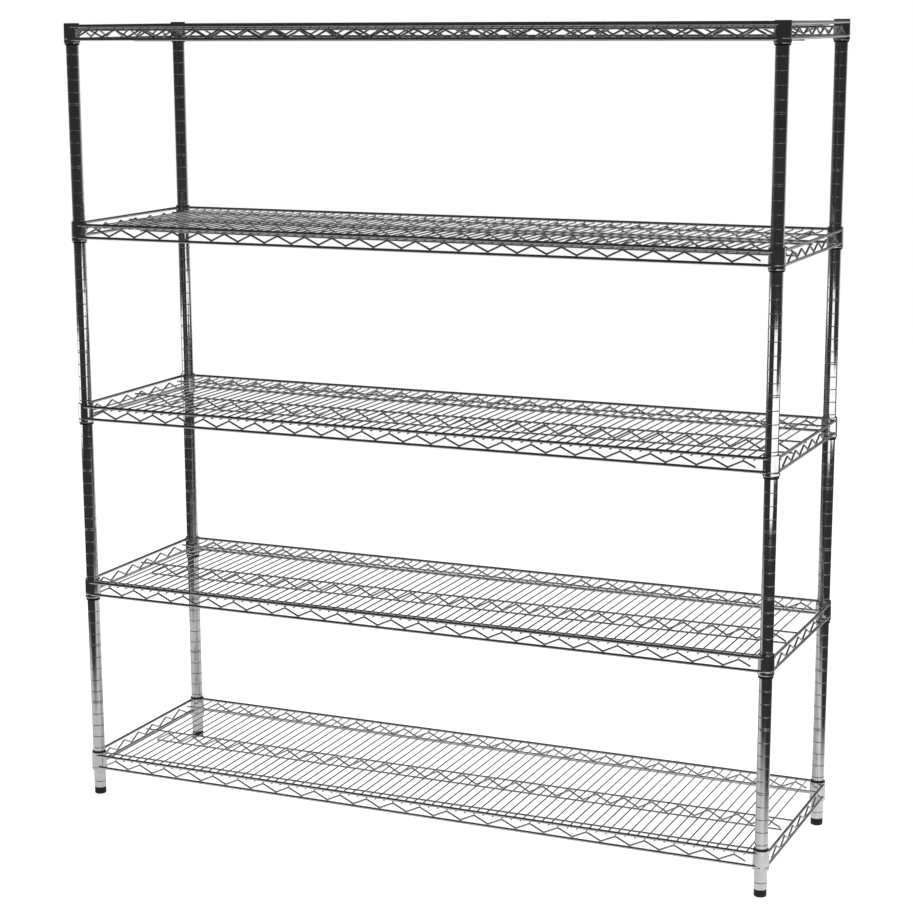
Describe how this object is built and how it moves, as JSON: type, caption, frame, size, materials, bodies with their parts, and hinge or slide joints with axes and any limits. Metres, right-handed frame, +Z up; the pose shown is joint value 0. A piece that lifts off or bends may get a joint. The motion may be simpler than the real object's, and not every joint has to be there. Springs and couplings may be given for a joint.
{
  "type": "wire shelving rack",
  "caption": "Chromed wire shelving rack: grooved round posts on screw feet carry lift-off wire shelves with zigzag edge trusses and tapered corner collars.",
  "frame": {"origin": "on the floor, under the middle of the rack", "axes": "+X along the shelves to the right, +Y from front to back, +Z up the posts"},
  "size_m": [1.5116, 0.4566, 1.6414],
  "materials": {
    "post_chrome": "bright plated tube, fine drawn lines",
    "collar_chrome": "bright plated pressing",
    "rail_chrome": "bright plated wire",
    "truss_chrome": "bright plated wire",
    "deck_chrome": "bright plated wire",
    "sleeve_plastic": "black moulded, fine grain",
    "cap_plastic": "black moulded, satin",
    "foot_rubber": "black hard plastic, scuffed underside",
    "screw_zinc": "zinc-plated screw",
    "insert_zinc": "zinc-plated insert"
  },
  "bodies": {
    "frame": {"post_front_left": "post_chrome", "post_front_right": "post_chrome", "post_back_left": "post_chrome", "post_back_right": "post_chrome", "post_caps": "cap_plastic", "foot_inserts": "insert_zinc", "bottom_sleeves_left": "sleeve_plastic", "bottom_sleeves_right": "sleeve_plastic", "second_sleeves_left": "sleeve_plastic", "second_sleeves_right": "sleeve_plastic", "middle_sleeves_left": "sleeve_plastic", "middle_sleeves_right": "sleeve_plastic", "fourth_sleeves_left": "sleeve_plastic", "fourth_sleeves_right": "sleeve_plastic", "top_sleeves_left": "sleeve_plastic", "top_sleeves_right": "sleeve_plastic"},
    "pad_front_left": {"foot_pad_front_left": "foot_rubber"},
    "screw_front_left": {"foot_screw_front_left": "screw_zinc"},
    "pad_front_right": {"foot_pad_front_right": "foot_rubber"},
    "screw_front_right": {"foot_screw_front_right": "screw_zinc"},
    "pad_back_left": {"foot_pad_back_left": "foot_rubber"},
    "screw_back_left": {"foot_screw_back_left": "screw_zinc"},
    "pad_back_right": {"foot_pad_back_right": "foot_rubber"},
    "screw_back_right": {"foot_screw_back_right": "screw_zinc"},
    "bottom_shelf": {"bottom_collars": "collar_chrome", "bottom_edge_rails": "rail_chrome", "bottom_long_trusses": "truss_chrome", "bottom_end_trusses": "truss_chrome", "bottom_centre_truss": "truss_chrome", "bottom_support_wires": "truss_chrome", "bottom_deck_wires": "deck_chrome"},
    "second_shelf": {"second_collars": "collar_chrome", "second_edge_rails": "rail_chrome", "second_long_trusses": "truss_chrome", "second_end_trusses": "truss_chrome", "second_centre_truss": "truss_chrome", "second_support_wires": "truss_chrome", "second_deck_wires": "deck_chrome"},
    "middle_shelf": {"middle_collars": "collar_chrome", "middle_edge_rails": "rail_chrome", "middle_long_trusses": "truss_chrome", "middle_end_trusses": "truss_chrome", "middle_centre_truss": "truss_chrome", "middle_support_wires": "truss_chrome", "middle_deck_wires": "deck_chrome"},
    "fourth_shelf": {"fourth_collars": "collar_chrome", "fourth_edge_rails": "rail_chrome", "fourth_long_trusses": "truss_chrome", "fourth_end_trusses": "truss_chrome", "fourth_centre_truss": "truss_chrome", "fourth_support_wires": "truss_chrome", "fourth_deck_wires": "deck_chrome"},
    "top_shelf": {"top_collars": "collar_chrome", "top_edge_rails": "rail_chrome", "top_long_trusses": "truss_chrome", "top_end_trusses": "truss_chrome", "top_centre_truss": "truss_chrome", "top_support_wires": "truss_chrome", "top_deck_wires": "deck_chrome"}
  },
  "joints": [
    {"name": "foot_level_front_left", "type": "slide", "parent": "frame", "child": "pad_front_left", "axis": [0, 0, -1], "range_m": [0, 0.012]},
    {"name": "foot_turn_front_left", "type": "hinge", "parent": "pad_front_left", "child": "screw_front_left", "pos_m": [-0.7395, -0.212, 0.02], "axis": [0, 0, -1], "range_deg": [0, 2722]},
    {"name": "foot_level_front_right", "type": "slide", "parent": "frame", "child": "pad_front_right", "axis": [0, 0, -1], "range_m": [0, 0.012]},
    {"name": "foot_turn_front_right", "type": "hinge", "parent": "pad_front_right", "child": "screw_front_right", "pos_m": [0.7395, -0.212, 0.02], "axis": [0, 0, -1], "range_deg": [0, 2722]},
    {"name": "foot_level_back_left", "type": "slide", "parent": "frame", "child": "pad_back_left", "axis": [0, 0, -1], "range_m": [0, 0.012]},
    {"name": "foot_turn_back_left", "type": "hinge", "parent": "pad_back_left", "child": "screw_back_left", "pos_m": [-0.7395, 0.212, 0.02], "axis": [0, 0, -1], "range_deg": [0, 2722]},
    {"name": "foot_level_back_right", "type": "slide", "parent": "frame", "child": "pad_back_right", "axis": [0, 0, -1], "range_m": [0, 0.012]},
    {"name": "foot_turn_back_right", "type": "hinge", "parent": "pad_back_right", "child": "screw_back_right", "pos_m": [0.7395, 0.212, 0.02], "axis": [0, 0, -1], "range_deg": [0, 2722]},
    {"name": "bottom_shelf_lift", "type": "slide", "parent": "frame", "child": "bottom_shelf", "axis": [0, 0, 1], "range_m": [0, 0.339]},
    {"name": "second_shelf_lift", "type": "slide", "parent": "frame", "child": "second_shelf", "axis": [0, 0, 1], "range_m": [0, 0.334]},
    {"name": "middle_shelf_lift", "type": "slide", "parent": "frame", "child": "middle_shelf", "axis": [0, 0, 1], "range_m": [0, 0.334]},
    {"name": "fourth_shelf_lift", "type": "slide", "parent": "frame", "child": "fourth_shelf", "axis": [0, 0, 1], "range_m": [0, 0.355]},
    {"name": "top_shelf_lift", "type": "slide", "parent": "frame", "child": "top_shelf", "axis": [0, 0, 1], "range_m": [0, 0.15]}
  ],
  "couplings": [
    {"joint": "foot_turn_front_left", "follows": "foot_level_front_left", "rad_per_m": 3957.9},
    {"joint": "foot_turn_front_right", "follows": "foot_level_front_right", "rad_per_m": 3957.9},
    {"joint": "foot_turn_back_left", "follows": "foot_level_back_left", "rad_per_m": 3957.9},
    {"joint": "foot_turn_back_right", "follows": "foot_level_back_right", "rad_per_m": 3957.9}
  ]
}
